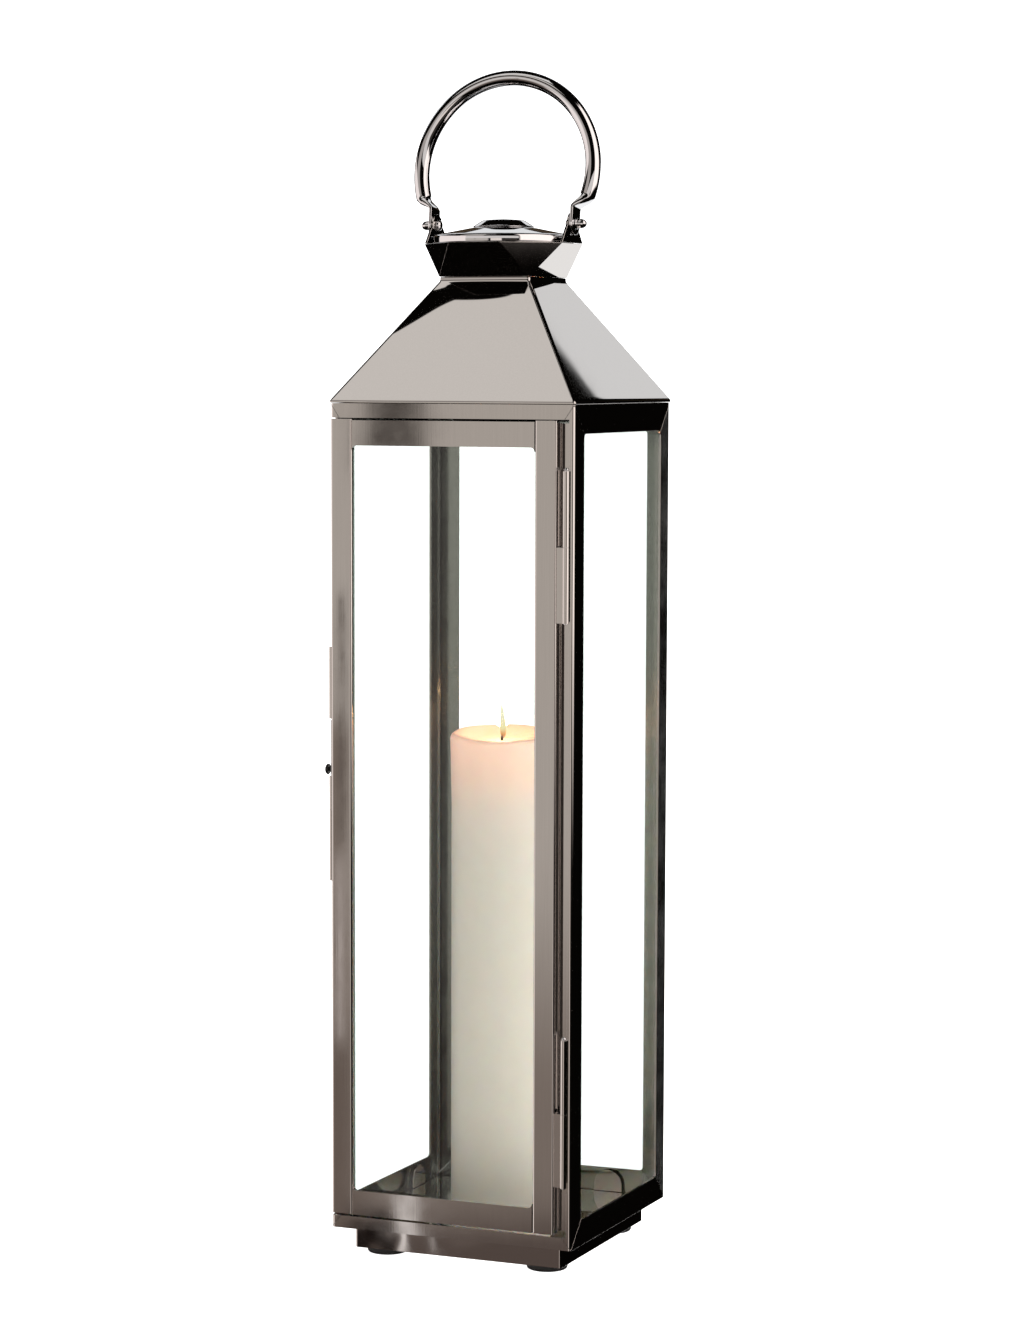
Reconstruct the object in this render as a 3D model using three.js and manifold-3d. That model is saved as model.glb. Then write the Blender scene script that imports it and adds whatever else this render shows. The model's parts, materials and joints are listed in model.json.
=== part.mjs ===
// Square steel candle lantern with a hinged glass door, pyramid roof and ring handle.
// Units are millimetres, +Z is up and the door faces -Y. The origin is on the ground,
// under the middle of the body.
import * as THREE from 'three';
import { ConvexGeometry } from 'three/addons/geometries/ConvexGeometry.js';
import { mergeVertices } from 'three/addons/utils/BufferGeometryUtils.js';
import Module from 'manifold-3d';

const wasm = await Module();
wasm.setup();

// ---- driving dimensions ----
const HALF = 110;            // half width of the square body
const BODY_H = 700;          // height of the glazed body
const FOOT_H = 6;            // rubber pads under the plinth
const FOOT_R = 17.5;
const FOOT_AT = 74;          // pad centres, from the middle
const PLINTH_HALF = 95;
const PLINTH_H = 19.5;
const PLINTH_WALL = 1.5;
const SHEET = 2;             // folded frame members
const EDGE_R = 3;            // rounded vertical corners
const STILE = 22;            // frame width beside the fixed panes
const TOP_RAIL = 24;
const BOTTOM_RAIL = 22;
const WINDOW_R = 4;          // rounded corners of the fixed windows
const GAP = 0.3;             // clearance between touching pieces
const FLOOR_T = 1.5;
const GLASS_T = 3;
const FRONT_TOP_BAND = 12.2;
const FRONT_BOTTOM_BAND = 10.6;
const FRONT_POST = 8.5;      // front flange of the hinge-side post, at its mitres
const FRONT_FLANGE = 4.5;    // the same flange, beside the door
const DOOR_T = 10;
const DOOR_LEFT = -HALF;     // the latch stile wraps the corner
const DOOR_RIGHT = 94.4;
const DOOR_LOW = 12.2;       // door edges, above the body's bottom
const DOOR_HIGH = 685.9;
const DOOR_STILE = 19.5;
const DOOR_RAIL = 21;
const DOOR_EDGE_R = 2.2;
const DOOR_FILLET = 3.5;
const DOOR_LIP = 4;          // door frame in front of its pane
const PANE_LAP = 4;          // pane hidden behind the stiles
const BEAD_W = 2.5;
const HINGE_X = 103.2;       // door hinge axis
const HINGE_Y = -110.5;
const KNUCKLE_R = 2.8;
const KNUCKLE_L = 62;
const PIN_R = 1.5;
const HINGE_Z = [115, 584];  // joint between the two knuckles, above the body's bottom
const LATCH_X = -112.7;      // barrel bolt axis
const LATCH_Y = -102.2;
const BARREL_R = 2.4;
const BOLT_R = 1;
const KEEPER_BORE_R = 2;     // wide enough to catch the bolt's end
const GUIDE_BORE_R = 1.4;
const KEEPER_Z = [434.7, 495.4];
const GUIDE_Z = [357.3, 386];
const BARREL_Z = [297, 357];
const KNOB_Z = 391.8;
const ROOF_OVER = 1;         // eave overhang
const EAVE_H = 2;
const ROOF_RISE = 100;
const NECK_HALF = 41.2;
const NECK_H = 3;
const ROOF_T = 1.5;
const COLLAR_H = 28;
const COLLAR_TOP = 63;       // half width across the top's flats
const COLLAR_FLAT = 23;      // half length of each flat
const LID_R = 59.4;
const LUG_T = 2;
const PIVOT_Z = 875.4;       // handle pivot above the ground
const RING_R = 78;           // handle ring, to the middle of the tube
const TUBE_R = 6.7;
const RING_Z = 920.8;        // middle of the ring
const RING_END = 28;         // degrees below the ring's middle where the tube is flattened
const TAB_T = 3;
const TAB_HALF = 9.5;
const HANDLE_LEAN = 8;       // degrees back from upright
const CANDLE_R = 43;
const CANDLE_H = 415;
const WICK_R = 1.1;
const CLIP_R = 13;           // half-round glass clips on the floor
const CLIP_H = 19;
const CLIP_T = 1.2;
const CLIP_AT = 57;

// ---- levels and derived sizes ----
const BASE = FOOT_H + PLINTH_H;
const EAVE = BASE + BODY_H;
const FLOOR_TOP = BASE + FLOOR_T;
const WINDOW_HALF = HALF - STILE;
const GLASS_OUT = HALF - SHEET - GAP;
const GLASS_IN = GLASS_OUT - GLASS_T;
const STOP_Y = -HALF + DOOR_T + GAP;
const NECK_Z = EAVE + GAP + EAVE_H + ROOF_RISE;
const COLLAR_Z = NECK_Z + NECK_H + GAP;
const LID_Z = COLLAR_Z + COLLAR_H + GAP;

// ---- materials ----
const finish = (color, roughness, metalness) =>
  new THREE.MeshStandardMaterial({ color, roughness, metalness });
const STEEL = finish(0xb9b4b0, 0.12, 1);
const BLACK = finish(0x0f0f0f, 0.25, 0);
const CHROME = finish(0xd9dadc, 0.06, 1);
const GLASS = new THREE.MeshStandardMaterial({
  color: 0xdfeeea,
  roughness: 0.03,
  metalness: 0,
  transparent: true,
  opacity: 0.25,
});
const RUBBER = finish(0x111111, 0.7, 0);
const SEALANT = finish(0x8fa8a2, 0.5, 0);
const WAX = finish(0xe9e0cb, 0.5, 0);
const COTTON = finish(0x2a211b, 0.95, 0);

// ---- solids and booleans ----
function solid(geometry) {
  const merged = geometry.clone();
  merged.deleteAttribute('normal');
  merged.deleteAttribute('uv');
  const welded = mergeVertices(merged, 1e-4);
  const triVerts = new Uint32Array(welded.index.array);
  const vertProperties = new Float32Array(welded.attributes.position.array);
  return new wasm.Manifold(new wasm.Mesh({ numProp: 3, vertProperties, triVerts }));
}

function geometry(manifold) {
  const mesh = manifold.getMesh();
  const result = new THREE.BufferGeometry();
  result.setAttribute('position', new THREE.BufferAttribute(mesh.vertProperties, 3));
  result.setIndex(new THREE.BufferAttribute(mesh.triVerts, 1));
  result.computeVertexNormals();
  return result;
}

const join = (first, ...rest) => rest.reduce((body, other) => body.add(other), first);
const cut = (first, ...rest) => rest.reduce((body, other) => body.subtract(other), first);

function block([x0, x1], [y0, y1], [z0, z1]) {
  const box = new THREE.BoxGeometry(x1 - x0, y1 - y0, z1 - z0);
  return box.translate((x0 + x1) / 2, (y0 + y1) / 2, (z0 + z1) / 2);
}

// A shape drawn in plan, raised from z0 to z1.
function raise(shape, z0, z1, curveSegments = 6) {
  const options = { depth: z1 - z0, bevelEnabled: false, curveSegments };
  return new THREE.ExtrudeGeometry(shape, options).translate(0, 0, z0);
}

// A shape drawn in x and z, running from y0 back to y1.
function runBack(shape, y0, y1, curveSegments = 6) {
  const options = { depth: y1 - y0, bevelEnabled: false, curveSegments };
  return new THREE.ExtrudeGeometry(shape, options).rotateX(Math.PI / 2).translate(0, y1, 0);
}

function roundRect(x0, x1, y0, y1, r) {
  const path = new THREE.Shape();
  path.moveTo(x0 + r, y0);
  path.lineTo(x1 - r, y0);
  path.absarc(x1 - r, y0 + r, r, -Math.PI / 2, 0);
  path.lineTo(x1, y1 - r);
  path.absarc(x1 - r, y1 - r, r, 0, Math.PI / 2);
  path.lineTo(x0 + r, y1);
  path.absarc(x0 + r, y1 - r, r, Math.PI / 2, Math.PI);
  path.lineTo(x0, y0 + r);
  path.absarc(x0 + r, y0 + r, r, Math.PI, 1.5 * Math.PI);
  return path;
}

function disc(r, x = 0, y = 0) {
  const shape = new THREE.Shape();
  shape.absarc(x, y, r, 0, 2 * Math.PI);
  return shape;
}

function ring(outer, inner, x = 0, y = 0) {
  const shape = disc(outer, x, y);
  shape.holes.push(disc(inner, x, y));
  return shape;
}

function polygon(points) {
  return new THREE.Shape(points.map(([x, y]) => new THREE.Vector2(x, y)));
}

// A profile of [radius, height] points turned about the Z axis.
function turn(points, segments = 48) {
  const profile = points.map(([r, z]) => new THREE.Vector2(r, z));
  return new THREE.LatheGeometry(profile, segments).rotateX(Math.PI / 2);
}

// The same profile turned about an axis along +X that passes through (y, z).
function turnAlongX(points, x, y, z, segments = 24) {
  return turn(points, segments).rotateY(Math.PI / 2).translate(x, y, z);
}

// ---- the scene graph ----
const lantern = new THREE.Group();

function add(name, shape, material, parent = lantern) {
  const mesh = new THREE.Mesh(shape, material);
  mesh.name = name;
  parent.add(mesh);
  return mesh;
}

// ---- base: feet, plinth, floor and glass clips ----
const CORNERS = [
  ['front_left', -1, -1],
  ['front_right', 1, -1],
  ['back_left', -1, 1],
  ['back_right', 1, 1],
];

function footPad() {
  const edge = 2;
  return turn([
    [0, 0],
    [FOOT_R - edge, 0],
    [FOOT_R - edge * 0.3, edge * 0.3],
    [FOOT_R, edge],
    [FOOT_R, FOOT_H - GAP],
    [0, FOOT_H - GAP],
  ], 32);
}

function plinthTray() {
  const inner = PLINTH_HALF - PLINTH_WALL;
  const top = BASE - GAP;
  const outside = raise(roundRect(-PLINTH_HALF, PLINTH_HALF, -PLINTH_HALF, PLINTH_HALF, 2), FOOT_H, top);
  const hollow = block([-inner, inner], [-inner, inner], [FOOT_H + PLINTH_WALL, top + 1]);
  return geometry(cut(solid(outside), solid(hollow)));
}

function floorPlate() {
  return block([-GLASS_OUT, GLASS_OUT], [-GLASS_OUT, GLASS_OUT], [BASE, FLOOR_TOP]);
}

// A half-round tab standing on the floor, facing along Y, with its middle at x = 0.
function clipTab() {
  const shape = new THREE.Shape();
  shape.moveTo(-CLIP_R, 0);
  shape.lineTo(CLIP_R, 0);
  shape.lineTo(CLIP_R, CLIP_H - CLIP_R);
  shape.absarc(0, CLIP_H - CLIP_R, CLIP_R, 0, Math.PI);
  shape.lineTo(-CLIP_R, 0);
  return runBack(shape, -CLIP_T, 0, 12);
}

for (const [name, sx, sy] of CORNERS) {
  add(`foot_${name}`, footPad(), RUBBER).position.set(sx * FOOT_AT, sy * FOOT_AT, 0);
}
add('plinth', plinthTray(), STEEL);
add('floor_plate', floorPlate(), STEEL);

const CLIP_FACE = GLASS_IN - GAP;
const CLIPS = [
  ['back_left', -CLIP_AT, CLIP_FACE, 0],
  ['back_right', CLIP_AT, CLIP_FACE, 0],
  ['left_front', -CLIP_FACE, -CLIP_AT, 90],
  ['left_back', -CLIP_FACE, CLIP_AT, 90],
  ['right_front', CLIP_FACE, -CLIP_AT, -90],
  ['right_back', CLIP_FACE, CLIP_AT, -90],
];
for (const [name, x, y, turned] of CLIPS) {
  const clip = add(`glass_clip_${name}`, clipTab(), STEEL);
  clip.position.set(x, y, FLOOR_TOP + GAP);
  clip.rotation.z = THREE.MathUtils.degToRad(turned);
}

// ---- body frame: mitred face frames, folded round the corners ----
// Each face is drawn as seen from outside, with u to the right and v up, and then
// turned to its side of the body.
const SIDES = { front: 0, right: 90, back: 180, left: -90 };

const FIXED_WINDOW = {
  u: WINDOW_HALF,
  low: BASE + BOTTOM_RAIL,
  high: EAVE - TOP_RAIL,
  r: WINDOW_R,
};
const FRONT_WINDOW = {
  u: HALF - FRONT_POST,
  low: BASE + FRONT_BOTTOM_BAND,
  high: EAVE - FRONT_TOP_BAND,
  r: 0.5,
};

function facing(side, shape, thickness, depth = 0) {
  const plate = runBack(shape, -HALF + depth, -HALF + depth + thickness, 6);
  return solid(plate.rotateZ(THREE.MathUtils.degToRad(SIDES[side])));
}

function facePlate(side, window) {
  const shape = polygon([[-HALF, BASE], [HALF, BASE], [HALF, EAVE], [-HALF, EAVE]]);
  shape.holes.push(roundRect(-window.u, window.u, window.low, window.high, window.r));
  return facing(side, shape, SHEET);
}

// The wedge between the two mitres of a top or bottom rail, widened by grow.
function mitreWedge(side, window, atTop, grow) {
  const edge = atTop ? EAVE : BASE;
  const inside = atTop ? window.high : window.low;
  const reach = 1.5;         // carries the wedge past the window's edge
  const run = (HALF - window.u) * reach;
  const rise = (inside - edge) * reach;
  const over = atTop ? 1 : -1;
  const points = [
    [-HALF - grow, edge + over],
    [HALF + grow, edge + over],
    [HALF + grow, edge],
    [HALF + grow - run, edge + rise],
    [-HALF - grow + run, edge + rise],
    [-HALF - grow, edge],
  ];
  if (!atTop) points.reverse();
  return facing(side, polygon(points), SHEET + 2, -1);
}

const envelope = solid(raise(roundRect(-HALF, HALF, -HALF, HALF, EDGE_R), BASE, EAVE));

// The quarter of the plan that belongs to one face, so that rails mitre at the corners.
function quarterPlan(side) {
  const reach = HALF + 2;
  const shape = polygon([[-reach, -reach - GAP], [reach, -reach - GAP], [0, -GAP]]);
  const prism = raise(shape, BASE - 1, EAVE + 1);
  return solid(prism.rotateZ(THREE.MathUtils.degToRad(SIDES[side])));
}

function rail(side, window, atTop) {
  const wedge = mitreWedge(side, window, atTop, -GAP);
  return facePlate(side, window).intersect(wedge).intersect(quarterPlan(side)).intersect(envelope);
}

// One corner post: the neighbouring stiles of two faces, [side, window] each.
function cornerPost(faces, sx, sy) {
  const plates = faces.map((face) => facePlate(...face));
  const wedges = faces.flatMap((face) => [mitreWedge(...face, true, 0), mitreWedge(...face, false, 0)]);
  const xs = sx > 0 ? [1, HALF + 1] : [-HALF - 1, -1];
  const ys = sy > 0 ? [1, HALF + 1] : [-HALF - 1, -1];
  const quarter = solid(block(xs, ys, [BASE - 1, EAVE + 1]));
  return cut(join(...plates), ...wedges).intersect(quarter).intersect(envelope);
}

// The flange that the closed door rests against.
const STOP_Z = [BASE + FRONT_BOTTOM_BAND + 3, EAVE - FRONT_TOP_BAND - 3];

function doorStop(x0, x1) {
  return solid(block([x0, x1], [STOP_Y, STOP_Y + SHEET], STOP_Z));
}

function frontLeftPost() {
  const post = cornerPost([['left', FIXED_WINDOW], ['front', FRONT_WINDOW]], -1, -1);
  const doorRoom = block(
    [-HALF - 1, 0],
    [-HALF - 1, STOP_Y],
    [BASE + FRONT_BOTTOM_BAND, EAVE - FRONT_TOP_BAND],
  );
  return join(cut(post, solid(doorRoom)), doorStop(-HALF + SHEET / 2, -96));
}

const DOOR_STOP_LEFT = 88;   // reaches a little behind the hinge stile

function hingeNotch(z) {
  const reach = KNUCKLE_L + 4;
  const right = HINGE_X + KNUCKLE_R + 0.8;
  return solid(block([HINGE_X - 4, right], [-HALF - 1, -HALF + SHEET + 1], [z - reach, z + reach]));
}

function frontRightPost() {
  const post = cornerPost([['right', FIXED_WINDOW], ['front', FRONT_WINDOW]], 1, -1);
  const webX = HINGE_X + KNUCKLE_R + 1.2;
  const web = solid(block([webX, webX + 1.6], [-HALF + SHEET / 2, STOP_Y + SHEET], STOP_Z));
  const notches = HINGE_Z.map((z) => hingeNotch(BASE + z));
  const doorRoom = block(
    [0, HALF - FRONT_FLANGE],
    [-HALF - 1, -HALF + SHEET + 1],
    [BASE + FRONT_BOTTOM_BAND, EAVE - FRONT_TOP_BAND],
  );
  return join(cut(post, ...notches, solid(doorRoom)), web, doorStop(DOOR_STOP_LEFT, webX + 1));
}

add('post_front_left', geometry(frontLeftPost()), STEEL);
add('post_front_right', geometry(frontRightPost()), STEEL);
add('post_back_left', geometry(cornerPost([['left', FIXED_WINDOW], ['back', FIXED_WINDOW]], -1, 1)), STEEL);
add('post_back_right', geometry(cornerPost([['right', FIXED_WINDOW], ['back', FIXED_WINDOW]], 1, 1)), STEEL);
for (const side of ['left', 'right', 'back']) {
  add(`${side}_top_rail`, geometry(rail(side, FIXED_WINDOW, true)), STEEL);
  add(`${side}_bottom_rail`, geometry(rail(side, FIXED_WINDOW, false)), STEEL);
}
add('front_top_band', geometry(rail('front', FRONT_WINDOW, true)), STEEL);
add('front_bottom_band', geometry(rail('front', FRONT_WINDOW, false)), STEEL);

// ---- fixed panes, standing on the floor behind the face frames ----
const PANE_Z = [FLOOR_TOP + GAP, EAVE - 4];
const paneFront = STOP_Y + SHEET + GAP;
add('glass_left', block([-GLASS_OUT, -GLASS_IN], [paneFront, GLASS_IN - GAP], PANE_Z), GLASS);
add('glass_right', block([GLASS_IN, GLASS_OUT], [paneFront, GLASS_IN - GAP], PANE_Z), GLASS);
add('glass_back', block([-GLASS_OUT, GLASS_OUT], [GLASS_IN, GLASS_OUT], PANE_Z), GLASS);

// ---- roof: a folded pyramid shell with an eave and a square neck ----
function frustum(halfLow, halfHigh, z0, z1) {
  const low = halfLow * Math.SQRT2;
  const high = halfHigh * Math.SQRT2;
  const shape = new THREE.CylinderGeometry(high, low, z1 - z0, 4, 1, false, Math.PI / 4);
  return solid(shape.rotateX(Math.PI / 2).translate(0, 0, (z0 + z1) / 2));
}

function roofForm(inset, z0, z1) {
  const eave = HALF + ROOF_OVER - inset;
  const neck = NECK_HALF - inset;
  const slopeZ = EAVE + GAP + EAVE_H;
  return join(
    frustum(eave, eave, z0, slopeZ),
    frustum(eave, neck, slopeZ, NECK_Z),
    frustum(neck, neck, NECK_Z, z1),
  );
}

function roofShell() {
  const top = NECK_Z + NECK_H;
  return cut(roofForm(0, EAVE + GAP, top), roofForm(ROOF_T, EAVE, top + 1));
}
add('roof', geometry(roofShell()), STEEL);

// ---- collar: square neck flaring to a blunt octagon ----
function octagon(flat, half, z) {
  const quarter = [[half, flat], [flat, half]];
  return [-1, 1].flatMap((sx) =>
    [-1, 1].flatMap((sy) => quarter.map(([x, y]) => new THREE.Vector3(sx * x, sy * y, z))));
}

function collarForm(inset, z0, z1) {
  const base = NECK_HALF - inset;
  const foot = [-1, 1].flatMap((sx) => [-1, 1].map((sy) => new THREE.Vector3(sx * base, sy * base, z0)));
  const top = octagon(COLLAR_FLAT - inset * 0.4, COLLAR_TOP - inset, z1);
  return solid(new ConvexGeometry([...foot, ...top]));
}

function collar() {
  const top = COLLAR_Z + COLLAR_H;
  const seat = 1.5;          // thickness of the ledge under the lid
  const bore = raise(disc(50), top - 2 * seat, top + 1, 24);
  const shell = cut(collarForm(0, COLLAR_Z, top), collarForm(1.5, COLLAR_Z - 0.1, top - seat));
  return cut(shell, solid(bore));
}
add('collar', geometry(collar()), STEEL);

// ---- lid: a spun cap with a domed button ----
function lidCap() {
  const wall = 1.5;
  return turn([
    [0, LID_Z + 11.6],
    [28.6, LID_Z + 11.6],
    [LID_R - 3, LID_Z + 6.2],
    [LID_R - wall, LID_Z + 5],
    [LID_R - wall, LID_Z],
    [LID_R, LID_Z],
    [LID_R, LID_Z + 6.4],
    [LID_R - 0.8, LID_Z + 7.6],
    [LID_R - 2.4, LID_Z + 8.4],
    [28.6, LID_Z + 13.2],
    [0, LID_Z + 13.2],
  ], 64);
}

function lidButton() {
  const low = LID_Z + 13.2 + GAP;
  const rise = 7.4;
  const outline = [[0, low], [25.4, low], [26, low + 0.8]];
  const steps = 6;
  for (let i = 1; i <= steps; i += 1) {
    const angle = (i / steps) * (Math.PI / 2);
    outline.push([26 * Math.cos(angle), low + 0.8 + (rise - 0.8) * Math.sin(angle)]);
  }
  outline[outline.length - 1][0] = 0;
  return turn(outline, 48);
}
add('lid', lidCap(), CHROME);
add('lid_button', lidButton(), CHROME);

// ---- handle: lugs, ring with flattened ends, pivot screws and nuts ----
const LUG_IN = COLLAR_TOP - LUG_T;

// Drawn with y across and z up, then stood on edge facing +X.
function uprightPlate(shape, x0, x1) {
  const options = { depth: x1 - x0, bevelEnabled: false, curveSegments: 10 };
  const plate = new THREE.ExtrudeGeometry(shape, options);
  return plate.applyMatrix4(new THREE.Matrix4().makeBasis(
    new THREE.Vector3(0, 1, 0),
    new THREE.Vector3(0, 0, 1),
    new THREE.Vector3(1, 0, 0),
  )).translate(x0, 0, 0);
}

function lugPlate() {
  const ear = 9.5;
  const low = COLLAR_Z + COLLAR_H + GAP;
  const shape = new THREE.Shape();
  shape.moveTo(-COLLAR_FLAT, low);
  shape.lineTo(COLLAR_FLAT, low);
  shape.lineTo(ear + 4, low + 12);
  shape.lineTo(ear, PIVOT_Z);
  shape.absarc(0, PIVOT_Z, ear, 0, Math.PI);
  shape.lineTo(-ear - 4, low + 12);
  shape.holes.push(disc(2.3, 0, PIVOT_Z));
  return uprightPlate(shape, LUG_IN, COLLAR_TOP);
}

function ringPoint(degrees) {
  const angle = THREE.MathUtils.degToRad(degrees);
  return new THREE.Vector3(RING_R * Math.cos(angle), 0, RING_Z + RING_R * Math.sin(angle));
}

class RingArc extends THREE.Curve {
  getPoint(t, target = new THREE.Vector3()) {
    return target.copy(ringPoint(-RING_END + 3 + t * (174 + 2 * RING_END)));
  }
}

function ringTube() {
  const section = new THREE.Shape();
  const sides = 16;
  for (let i = 0; i < sides; i += 1) {
    const angle = (i / sides) * 2 * Math.PI;
    const method = i === 0 ? 'moveTo' : 'lineTo';
    section[method](TUBE_R * Math.cos(angle), TUBE_R * Math.sin(angle));
  }
  const options = { extrudePath: new RingArc(), steps: 56, bevelEnabled: false };
  return solid(new THREE.ExtrudeGeometry(section, options));
}

const TAB_IN = COLLAR_TOP + GAP;

// The tube squashed flat: a hull from its round end down to the tab's top edge.
function flattenedEnd() {
  const angle = THREE.MathUtils.degToRad(-RING_END + 4);
  const points = [];
  for (let i = 0; i < 16; i += 1) {
    const turnBy = (i / 16) * 2 * Math.PI;
    const r = RING_R + TUBE_R * Math.cos(turnBy);
    points.push(new THREE.Vector3(r * Math.cos(angle), TUBE_R * Math.sin(turnBy), RING_Z + r * Math.sin(angle)));
  }
  for (const x of [TAB_IN, TAB_IN + TAB_T]) {
    for (const y of [-TAB_HALF, TAB_HALF]) {
      points.push(new THREE.Vector3(x, y, PIVOT_Z + 11));
    }
  }
  return solid(new ConvexGeometry(points));
}

function handleTab() {
  const shape = new THREE.Shape();
  shape.moveTo(-TAB_HALF, PIVOT_Z);
  shape.absarc(0, PIVOT_Z, TAB_HALF, Math.PI, 2 * Math.PI);
  shape.lineTo(TAB_HALF, PIVOT_Z + 12);
  shape.lineTo(-TAB_HALF, PIVOT_Z + 12);
  shape.holes.push(disc(2.3, 0, PIVOT_Z));
  return solid(uprightPlate(shape, TAB_IN, TAB_IN + TAB_T));
}

function handleRing() {
  const end = join(flattenedEnd(), handleTab());
  const whole = join(ringTube(), end, end.mirror([1, 0, 0]));
  return geometry(whole).translate(0, 0, -PIVOT_Z);
}

// Round head inside the lug, shank out through the handle's tab.
function pivotScrew() {
  return turnAlongX([
    [0, -4],
    [2.6, -3.7],
    [4.4, -2.2],
    [4.8, -GAP],
    [2, -GAP],
    [2, LUG_T + TAB_T + 5],
    [0, LUG_T + TAB_T + 5],
  ], LUG_IN, 0, PIVOT_Z);
}

function acornNut() {
  const start = TAB_IN + TAB_T + GAP;
  return turnAlongX([
    [0, 4.5],
    [2.3, 4.5],
    [2.3, 0],
    [4.6, 0],
    [4.6, 1],
    [4.2, 1.2],
    [4.2, 5],
    [3.4, 7.2],
    [1.8, 8.6],
    [0, 9],
  ], start, 0, PIVOT_Z);
}

for (const [name, sign] of [['left', -1], ['right', 1]]) {
  const side = new THREE.Group();
  side.rotation.z = sign > 0 ? 0 : Math.PI;
  lantern.add(side);
  add(`handle_lug_${name}`, lugPlate(), STEEL, side);
  add(`pivot_screw_${name}`, pivotScrew(), CHROME, side);
  add(`acorn_nut_${name}`, acornNut(), CHROME, side);
}
const handle = add('handle_ring', handleRing(), CHROME);
handle.position.z = PIVOT_Z;
handle.rotation.x = -THREE.MathUtils.degToRad(HANDLE_LEAN);

// ---- door: two stiles, two rails, a pane and its bead ----
const DOOR_Y = [-HALF, -HALF + DOOR_T];
const DOOR_Z = [BASE + DOOR_LOW, BASE + DOOR_HIGH];
const STILE_TOP = DOOR_Z[1] + 1.2;
const RAIL_X = [DOOR_LEFT + DOOR_STILE + GAP, DOOR_RIGHT - DOOR_STILE - GAP];
const RAIL_LAP = 16;         // from a rail's outer edge to the pane
const DOOR_PANE_X = [RAIL_X[0] - PANE_LAP, RAIL_X[1] + PANE_LAP];
const DOOR_PANE_Y = [DOOR_Y[0] + DOOR_LIP + GAP, DOOR_Y[0] + DOOR_LIP + GAP + GLASS_T];
const DOOR_PANE_Z = [DOOR_Z[0] + RAIL_LAP, DOOR_Z[1] - RAIL_LAP];

// The rebate that the pane and its bead lie in, open to the back.
function rebate([x0, x1], [z0, z1]) {
  const open = [DOOR_PANE_Y[0] - GAP, DOOR_Y[1] + 1];
  return solid(block([x0 - GAP, x1 + GAP], open, [z0 - GAP, z1 + GAP]));
}

function doorStile(x0) {
  const plan = roundRect(x0, x0 + DOOR_STILE, ...DOOR_Y, DOOR_EDGE_R);
  return geometry(cut(solid(raise(plan, DOOR_Z[0], STILE_TOP)), rebate(DOOR_PANE_X, DOOR_PANE_Z)));
}

// A rail whose inner edge sweeps up into the stiles with a small fillet.
function doorRail() {
  const [x0, x1] = RAIL_X;
  const r = DOOR_FILLET;
  const shape = new THREE.Shape();
  shape.moveTo(x0, 0);
  shape.lineTo(x1, 0);
  shape.lineTo(x1, DOOR_RAIL + r);
  shape.absarc(x1 - r, DOOR_RAIL + r, r, 0, -Math.PI / 2, true);
  shape.lineTo(x0 + r, DOOR_RAIL);
  shape.absarc(x0 + r, DOOR_RAIL + r, r, -Math.PI / 2, -Math.PI, true);
  shape.lineTo(x0, 0);
  const bar = runBack(shape, DOOR_Y[0] + 0.4, DOOR_Y[1], 5);
  return geometry(cut(solid(bar), rebate(DOOR_PANE_X, [RAIL_LAP, DOOR_RAIL + 2 * r])));
}

function doorBead() {
  const [x0, x1] = DOOR_PANE_X;
  const [z0, z1] = DOOR_PANE_Z;
  const shape = roundRect(x0, x1, z0, z1, 1);
  shape.holes.push(roundRect(x0 + BEAD_W, x1 - BEAD_W, z0 + BEAD_W, z1 - BEAD_W, 1));
  return runBack(shape, DOOR_PANE_Y[1] + GAP, DOOR_Y[1], 4);
}

const door = new THREE.Group();
lantern.add(door);
add('door_stile_latch', doorStile(DOOR_LEFT), STEEL, door);
add('door_stile_hinge', doorStile(DOOR_RIGHT - DOOR_STILE), STEEL, door);
add('door_rail_bottom', doorRail(), STEEL, door).position.z = DOOR_Z[0];
const topRail = add('door_rail_top', doorRail(), STEEL, door);
topRail.rotation.y = Math.PI;
topRail.position.set(RAIL_X[0] + RAIL_X[1], 0, DOOR_Z[1]);
add('door_glass', block(DOOR_PANE_X, DOOR_PANE_Y, DOOR_PANE_Z), GLASS, door);
add('door_glass_bead', doorBead(), SEALANT, door);

// ---- hinges: a leaf with one knuckle on the post, one on the door, and a pin ----
function knuckle(z0, leaf) {
  const tube = solid(raise(ring(KNUCKLE_R, PIN_R + GAP, HINGE_X, HINGE_Y), z0, z0 + KNUCKLE_L, 10));
  const bore = solid(raise(disc(PIN_R + GAP, HINGE_X, HINGE_Y), z0 - 1, z0 + KNUCKLE_L + 1, 10));
  return cut(join(tube, ...leaf.map(([xs, ys]) => solid(block(xs, ys, [z0, z0 + KNUCKLE_L])))), bore);
}

const LEAF_BACK = STOP_Y - 1.5;
const POST_LEAF = [[[HINGE_X + KNUCKLE_R - 1, HINGE_X + KNUCKLE_R], [HINGE_Y, LEAF_BACK]]];
const DOOR_LEAF = [
  [[DOOR_RIGHT + GAP, DOOR_RIGHT + GAP + 1], [HINGE_Y + 0.5, LEAF_BACK]],
  [[DOOR_RIGHT + GAP, HINGE_X - PIN_R], [HINGE_Y + 0.5, HINGE_Y + 1.5]],
];

function hingePin(z) {
  const reach = KNUCKLE_L + 1;
  const cap = KNUCKLE_R - 0.4;
  return turn([
    [0, z - reach],
    [PIN_R, z - reach],
    [PIN_R, z + reach],
    [cap, z + reach],
    [cap, z + reach + 0.6],
    [PIN_R, z + reach + 1.8],
    [0, z + reach + 2],
  ], 20).translate(HINGE_X, HINGE_Y, 0);
}

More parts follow.
